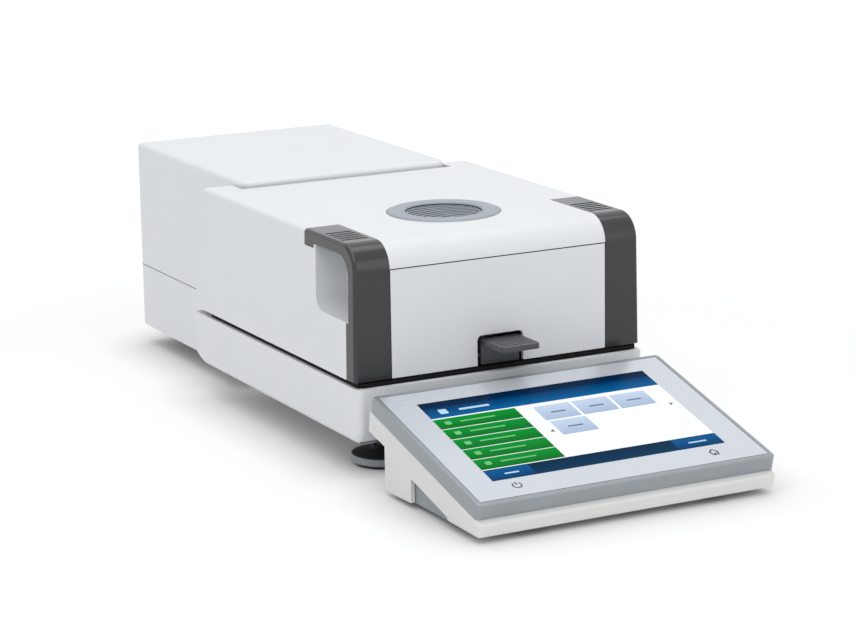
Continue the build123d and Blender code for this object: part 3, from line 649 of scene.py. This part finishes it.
        Mesher.piece("glass_gap_line", build, self.finishes.seam, Body.TERMINAL, "display_glass")

    def _arrows(self) -> None:
        """Small arrows at the left and right of the tiles."""
        place = self.place()

        def build(bm: bmesh.types.BMesh) -> None:
            """Add both arrows."""
            for u, v, way in ((0.405, 0.55, -1.0), (0.965, 0.45, 1.0)):
                x, _, _, y = self.area(u, u, v, v)
                tip = 1.6 * MM * way
                outline = [(x - tip / 2, y - 1.6 * MM), (x + tip, y), (x - tip / 2, y + 1.6 * MM)]
                Mesher.prism(bm, outline, self.glass_top, self.glass_top + 2 * self.layer, place)

        Mesher.piece("screen_arrows", build, self.finishes.ink, Body.TERMINAL, "display_glass")

    def _symbols(self) -> None:
        """Plain power and home symbols printed on the glass in front of the screen."""
        place = self.place()
        line = self.symbol_line
        top = self.glass_top + self.layer
        low = self.glass_top - line / 9

        def arc(bm: bmesh.types.BMesh, x: float, y: float, radius: float, start: float,
                end: float) -> None:
            """Add a round stroke.

            Args:
                bm: Mesh to add to.
                x: Centre along X.
                y: Centre along Y.
                radius: Outer radius.
                start: First angle, in degrees.
                end: Last angle, in degrees.
            """
            steps = 28
            inner, outer = [], []
            for i in range(steps + 1):
                angle = math.radians(start + (end - start) * i / steps)
                inner.append((x + (radius - line) * math.cos(angle), y + (radius - line) * math.sin(angle)))
                outer.append((x + radius * math.cos(angle), y + radius * math.sin(angle)))
            for i in range(steps):
                Mesher.prism(bm, [inner[i], outer[i], outer[i + 1], inner[i + 1]], low, top, place)

        def bar(bm: bmesh.types.BMesh, a: Point, b: Point) -> None:
            """Add a straight stroke.

            Args:
                bm: Mesh to add to.
                a: One end.
                b: Other end.
            """
            along = Vector((b[0] - a[0], b[1] - a[1])).normalized()
            side = Vector((-along.y, along.x)) * line / 2
            outline = [(a[0] - side.x, a[1] - side.y), (b[0] - side.x, b[1] - side.y),
                       (b[0] + side.x, b[1] + side.y), (a[0] + side.x, a[1] + side.y)]
            Mesher.prism(bm, outline, low, top, place)

        def build(bm: bmesh.types.BMesh) -> None:
            """Add the power and the home symbol."""
            x, y = self.power_x, self.symbol_y
            arc(bm, x, y, self.power_radius, 125.0, 415.0)
            bar(bm, (x, y + 0.4 * MM), (x, y + 3.4 * MM))
            x, size = self.home_x, self.home_size
            wall = 0.7 * size
            corners = [(x - size, y), (x, y + size), (x + size, y), (x + wall, y), (x + wall, y - size),
                       (x - wall, y - size), (x - wall, y), (x - size, y)]
            for a, b in zip(corners, corners[1:]):
                bar(bm, a, b)
            Mesher.prism(bm, [(x - 0.25 * size, y - size), (x + 0.25 * size, y - size),
                              (x + 0.25 * size, y - 0.35 * size), (x - 0.25 * size, y - 0.35 * size)],
                         low, top, place)

        Mesher.piece("touch_symbols", build, self.finishes.ink, Body.TERMINAL, "display_glass")


@dataclass
class Feet:
    """Grey ribbed rims round the black levelling wheels."""

    finishes: Finishes
    rib_count: int = 60
    rib_depth: float = 0.3 * MM

    def build(self) -> None:
        """Make both rims."""
        for side, body in (("left", Body.LEFT_SCREW), ("right", Body.RIGHT_SCREW)):
            low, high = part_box(f"foot_wheel_{side}")
            centre = Vector(((low[0] + high[0]) / 2, (low[1] + high[1]) / 2, 0.0))
            outer = (high[1] - low[1]) / 2 + 0.4 * MM
            profile = [(outer - 1.6 * MM, 2.0 * MM), (outer - 0.5 * MM, 2.0 * MM), (outer, 2.5 * MM),
                       (outer, 3.6 * MM), (outer - 0.35 * MM, 3.9 * MM), (outer, 4.2 * MM), (outer, 5.6 * MM),
                       (outer - 0.6 * MM, 6.3 * MM), (outer - 1.6 * MM, 6.4 * MM)]

            def build(bm: bmesh.types.BMesh, centre: Vector = centre,
                      profile: List[Point] = profile) -> None:
                """Turn the rim."""
                Mesher.lathe(bm, profile, centre, steps=360, ribs=self.rib_count, rib_depth=self.rib_depth)

            Mesher.piece(f"foot_rim_{side}", build, self.finishes.rim, body, "mid_grey_plastic",
                         smooth=True)


@dataclass
class Sockets:
    """Black insides and gilt contacts of the data sockets in the rear panel."""

    finishes: Finishes
    first: float = -50.0 * MM
    pitch: float = 17.0 * MM
    centre: float = 108.0 * MM
    half_width: float = 4.15 * MM
    half_height: float = 3.95 * MM
    contacts: int = 8

    def build(self) -> None:
        """Make the black insides and the contact strips of the three sockets."""
        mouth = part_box("data_sockets")[1][1]
        back = mouth - 9.4 * MM
        front = mouth - 1.2 * MM
        wall = 0.7 * MM

        def insides(bm: bmesh.types.BMesh) -> None:
            """Line each socket with five thin walls."""
            for i in range(3):
                x = self.first + i * self.pitch
                z0, z1 = self.centre - self.half_height, self.centre + self.half_height
                x0, x1 = x - self.half_width, x + self.half_width
                for a0, a1, y0, y1, c0, c1 in ((x0, x1, back - wall, back, z0, z1),
                                               (x0, x1, back, front, z0, z0 + wall),
                                               (x0, x1, back, front, z1 - wall, z1),
                                               (x0, x0 + wall, back, front, z0 + wall, z1 - wall),
                                               (x1 - wall, x1, back, front, z0 + wall, z1 - wall)):
                    Mesher.prism(bm, [(a0, y0), (a1, y0), (a1, y1), (a0, y1)], c0, c1, Matrix.Identity(4))

        def strips(bm: bmesh.types.BMesh) -> None:
            """Add the contact strips of each socket."""
            width, pitch = 0.45 * MM, 0.85 * MM
            low, high = self.centre + 2.3 * MM, self.centre + 2.6 * MM
            end = front - 1.5 * MM
            for i in range(3):
                for k in range(self.contacts):
                    x = self.first + i * self.pitch + (k - (self.contacts - 1) / 2) * pitch
                    outline = [(x - width / 2, back), (x + width / 2, back), (x + width / 2, end),
                               (x - width / 2, end)]
                    Mesher.prism(bm, outline, low, high, Matrix.Identity(4))

        Mesher.piece("socket_insides", insides, self.finishes.black, Body.BASE, "black_plastic")
        Mesher.piece("socket_contacts", strips, self.finishes.contact, Body.BASE, "polished_steel")


@dataclass
class Seams:
    """Dark lines where the housings meet, painted shadow in the lid's side gaps and painted shade inside the
    vent's hole.
    """

    finishes: Finishes
    height: float = 0.45 * MM
    proud: float = 0.04 * MM

    def build(self) -> None:
        """Make the joint line between the rear housing and the base."""
        low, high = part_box("rear_housing")
        seam = low[2]
        front = 119.0 * MM
        corner = 5.0 * MM

        def build(bm: bmesh.types.BMesh) -> None:
            """Add a thin slab a little wider than the housing."""
            outline = Mesher.rounded(low[0] - self.proud, high[0] + self.proud, front,
                                     high[1] + self.proud, corner)
            Mesher.prism(bm, outline, seam - self.height / 2, seam + self.height / 2, Matrix.Identity(4))

        Mesher.piece("housing_joint_line", build, self.finishes.seam, Body.BASE, "black_plastic")
        self._lid_gap_painted_shadow()
        self._front_panel()
        self._vent()

    def _lid_gap_painted_shadow(self) -> None:
        """Black strips of painted shadow in the gap under the lid's sides, a few millimetres in."""
        front, rear = -118.0 * MM, 96.5 * MM
        low, high = 54.2 * MM, 57.2 * MM
        inner, outer = 91.0 * MM, 94.6 * MM

        def build(bm: bmesh.types.BMesh) -> None:
            """Add one strip at each side."""
            for side in (-1.0, 1.0):
                Mesher.prism(bm, [(side * inner, front), (side * outer, front), (side * outer, rear),
                                  (side * inner, rear)], low, high, Matrix.Identity(4))

        # Matt black sheet in a gap that holds only shadow: painted shadow.
        Mesher.piece("lid_gap_painted_shadow_strips", build, self.finishes.deck, Body.BASE, "black_plastic")

    def _front_panel(self) -> None:
        """Dark lines in the gaps above and beside the lid's front panel."""
        low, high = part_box("lid_front_panel")
        face = low[1] + 0.12 * MM
        depth = 0.5 * MM
        side = 0.2 * MM

        def build(bm: bmesh.types.BMesh) -> None:
            """Add the upper line and the two upright lines."""
            for x0, x1, z0, z1 in ((low[0] - side, high[0] + side, high[2], high[2] + 0.6 * MM),
                                   (low[0] - side, low[0], low[2], high[2]),
                                   (high[0], high[0] + side, low[2], high[2])):
                Mesher.prism(bm, [(x0, face), (x1, face), (x1, face + depth), (x0, face + depth)], z0, z1,
                             Matrix.Identity(4))

        Mesher.piece("front_panel_gap_line", build, self.finishes.seam, Body.LID, "black_plastic")

    def _vent(self) -> None:
        """Dark joint line round the vent ring, and a ring of painted shade just inside the grille's hole."""
        low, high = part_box("vent_ring")
        radius = (high[0] - low[0]) / 2
        centre = Vector(((low[0] + high[0]) / 2, (low[1] + high[1]) / 2, 0.0))
        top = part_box("lid_shell")[1][2]
        hole = (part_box("vent_grille")[1][0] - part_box("vent_grille")[0][0]) / 2
        # Inner ring: painted shade at the rim of the grille's hole.
        inner = [(hole - 0.45 * MM, top - 0.62 * MM), (hole - 0.02 * MM, top - 0.62 * MM),
                 (hole - 0.02 * MM, top - 0.1 * MM), (hole - 0.45 * MM, top - 0.45 * MM)]
        outer = [(radius - 0.05 * MM, top - 0.3 * MM), (radius + 0.3 * MM, top - 0.3 * MM),
                   (radius + 0.3 * MM, top + self.proud), (radius - 0.05 * MM, top + self.proud)]

        def build(bm: bmesh.types.BMesh) -> None:
            """Turn the outer joint line and the inner ring of painted shade."""
            Mesher.lathe(bm, outer, centre, steps=180)
            Mesher.lathe(bm, inner, centre, steps=180)

        Mesher.piece("vent_joint_and_painted_shade_line", build, self.finishes.seam, Body.LID, "black_plastic")


@dataclass
class Studio:
    """Pale floor, soft light and the camera of the reference view."""

    camera_place: Vector = field(default_factory=lambda: Vector((-795.35, -1557.9, 474.5)) * MM)
    yaw: float = math.radians(27.434)
    pitch: float = math.radians(13.255)
    roll: float = math.radians(-0.943)
    lens: float = 119.08
    floor_half: float = 30.0
    world_light: float = 0.53
    painted_contact_shade_reach: float = 45.0 * MM

    def build(self) -> None:
        """Make the floor, the lights, the world and the camera."""
        self._floor()
        self._world()
        self._lamp("key_softbox", (-0.9, -0.9, 1.9), (0.0, 0.0, 0.05), 1.6, 13.0)
        self._lamp("top_softbox", (0.2, 0.3, 2.3), (0.0, 0.05, 0.05), 1.8, 16.0)
        self._lamp("front_fill", (0.6, -2.2, 0.9), (0.0, 0.0, 0.08), 1.4, 5.5)
        self._camera()

    def _floor(self) -> None:
        """White floor that keeps the object's soft shadow; its glow also carries painted shade near the
        object.
        """
        mesh = bpy.data.meshes.new("studio_floor")
        h = self.floor_half
        mesh.from_pydata([(-h, -h, 0), (h, -h, 0), (h, h, 0), (-h, h, 0)], [], [(0, 1, 2, 3)])
        floor = bpy.data.objects.new("studio_floor", mesh)
        floor.location.z = -0.0002
        bpy.context.scene.collection.objects.link(floor)
        material = bpy.data.materials.new("studio_floor_white")
        material.use_nodes = True
        tree = material.node_tree
        bounce = tree.nodes["Principled BSDF"]
        bounce.inputs["Base Color"].default_value = (0.96, 0.96, 0.96, 1.0)
        bounce.inputs["Roughness"].default_value = 0.9
        shown = tree.nodes.new("ShaderNodeBsdfDiffuse")
        shown.inputs["Color"].default_value = (0.46, 0.46, 0.46, 1.0)
        glow = tree.nodes.new("ShaderNodeEmission")
        tree.links.new(self._floor_glow_with_painted_shade(tree), glow.inputs["Strength"])
        add = tree.nodes.new("ShaderNodeAddShader")
        tree.links.new(shown.outputs["BSDF"], add.inputs[0])
        tree.links.new(glow.outputs["Emission"], add.inputs[1])
        mix = tree.nodes.new("ShaderNodeMixShader")
        tree.links.new(self._seen(tree), mix.inputs["Fac"])
        tree.links.new(bounce.outputs["BSDF"], mix.inputs[1])
        tree.links.new(add.outputs["Shader"], mix.inputs[2])
        tree.links.new(mix.outputs["Shader"], tree.nodes["Material Output"].inputs["Surface"])
        mesh.materials.append(material)

    def _floor_glow_with_painted_shade(self, tree: bpy.types.NodeTree) -> bpy.types.NodeSocket:
        """Strength of the floor's own glow. It grows away from the object and drops where surfaces stand
        close, as painted shade.

        Args:
            tree: Node tree of the floor's material.

        Returns:
            Socket with the strength.
        """
        coords = tree.nodes.new("ShaderNodeTexCoord")
        distance = tree.nodes.new("ShaderNodeVectorMath")
        distance.operation = "LENGTH"
        tree.links.new(coords.outputs["Object"], distance.inputs[0])
        # Glow is lower near the object than far away: painted shade round it.
        grow = tree.nodes.new("ShaderNodeMapRange")
        grow.inputs["From Min"].default_value = 0.35
        grow.inputs["From Max"].default_value = 2.0
        grow.inputs["To Min"].default_value = 0.56
        grow.inputs["To Max"].default_value = 0.95
        tree.links.new(distance.outputs["Value"], grow.inputs["Value"])
        # Ambient occlusion lowers the glow where surfaces stand close, as painted contact shadow.
        contact = tree.nodes.new("ShaderNodeAmbientOcclusion")
        contact.inputs["Distance"].default_value = self.painted_contact_shade_reach
        product = tree.nodes.new("ShaderNodeMath")
        product.operation = "MULTIPLY"
        tree.links.new(grow.outputs["Result"], product.inputs[0])
        tree.links.new(contact.outputs["AO"], product.inputs[1])
        return product.outputs["Value"]

    def _seen(self, tree: bpy.types.NodeTree) -> bpy.types.NodeSocket:
        """One where a ray comes from the camera, from gloss or through glass, else zero.

        Args:
            tree: Node tree of a material or the world.

        Returns:
            Socket with one or zero.
        """
        path = tree.nodes.new("ShaderNodeLightPath")
        total = path.outputs["Is Camera Ray"]
        for name in ("Is Glossy Ray", "Is Transmission Ray"):
            most = tree.nodes.new("ShaderNodeMath")
            most.operation = "MAXIMUM"
            tree.links.new(total, most.inputs[0])
            tree.links.new(path.outputs[name], most.inputs[1])
            total = most.outputs["Value"]
        return total

    def _world(self) -> None:
        """Even soft light from all round, white where the camera looks past the floor."""
        world = bpy.data.worlds.new("studio_world")
        bpy.context.scene.world = world
        world.use_nodes = True
        tree = world.node_tree
        background = tree.nodes["Background"]
        background.inputs["Color"].default_value = (0.96, 0.98, 1.0, 1.0)
        level = tree.nodes.new("ShaderNodeMapRange")
        level.inputs["To Min"].default_value = self.world_light
        level.inputs["To Max"].default_value = 1.04
        tree.links.new(self._seen(tree), level.inputs["Value"])
        tree.links.new(level.outputs["Result"], background.inputs["Strength"])

    def _lamp(self, name: str, place: Tuple[float, float, float], target: Tuple[float, float, float],
              size: float, power: float) -> None:
        """One square softbox that looks at a point.

        Args:
            name: Name of the lamp.
            place: Where it stands.
            target: Point that it looks at.
            size: Length of its side.
            power: Its power, in watts.
        """
        data = bpy.data.lights.new(name, "AREA")
        data.shape = "SQUARE"
        data.size = size
        data.energy = power
        lamp = bpy.data.objects.new(name, data)
        lamp.location = place
        lamp.rotation_mode = "QUATERNION"
        lamp.rotation_quaternion = (Vector(target) - Vector(place)).to_track_quat("-Z", "Y")
        bpy.context.scene.collection.objects.link(lamp)

    def _camera(self) -> None:
        """Camera at the reference view's place, angle and focal length."""
        data = bpy.data.cameras.new("reference_camera")
        data.lens = self.lens
        data.sensor_width = 36.0
        data.clip_end = 200.0
        camera = bpy.data.objects.new("reference_camera", data)
        forward = Vector((math.sin(self.yaw) * math.cos(self.pitch),
                          math.cos(self.yaw) * math.cos(self.pitch), -math.sin(self.pitch)))
        right = Vector((math.cos(self.yaw), -math.sin(self.yaw), 0.0))
        up = right.cross(forward)
        across = right * math.cos(self.roll) + up * math.sin(self.roll)
        above = up * math.cos(self.roll) - right * math.sin(self.roll)
        turn = Matrix((across, above, -forward)).transposed()
        camera.matrix_world = Matrix.Translation(self.camera_place) @ turn.to_4x4()
        bpy.context.scene.collection.objects.link(camera)
        bpy.context.scene.camera = camera


def main() -> None:
    """Load the model, dress it and light it."""
    logging.basicConfig(level=logging.INFO)
    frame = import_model()
    finishes = Finishes()
    CarriedNodes(finishes).dress(frame["nodes"])
    Terminal(finishes).build()
    Feet(finishes).build()
    Seams(finishes).build()
    Sockets(finishes).build()
    Studio().build()
    bpy.context.scene.view_settings.view_transform = "Standard"


if __name__ == "__main__":
    main()
